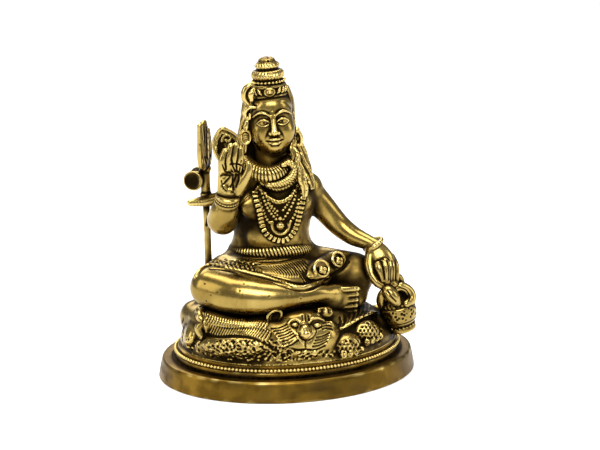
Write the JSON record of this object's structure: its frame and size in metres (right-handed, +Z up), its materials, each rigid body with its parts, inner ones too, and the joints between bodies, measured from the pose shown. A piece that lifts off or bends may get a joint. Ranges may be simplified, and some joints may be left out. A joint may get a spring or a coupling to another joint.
{
  "type": "shiva figure",
  "caption": "Small cast brass figure of Shiva seated cross-legged on a tiger skin, one hand raised, the other over a water pot, on an oval foot, with a lift-out trident.",
  "frame": {"origin": "centre of the oval foot's underside", "axes": "+Z up, the figure faces -Y, and its own left hand is on +X"},
  "size_m": [0.088, 0.066, 0.1065],
  "materials": {
    "cast_brass": "polished on the raised parts, dark brown patina in the recesses"
  },
  "bodies": {
    "root": {"shiva_figure": "cast_brass", "trident": "cast_brass"}
  },
  "joints": []
}
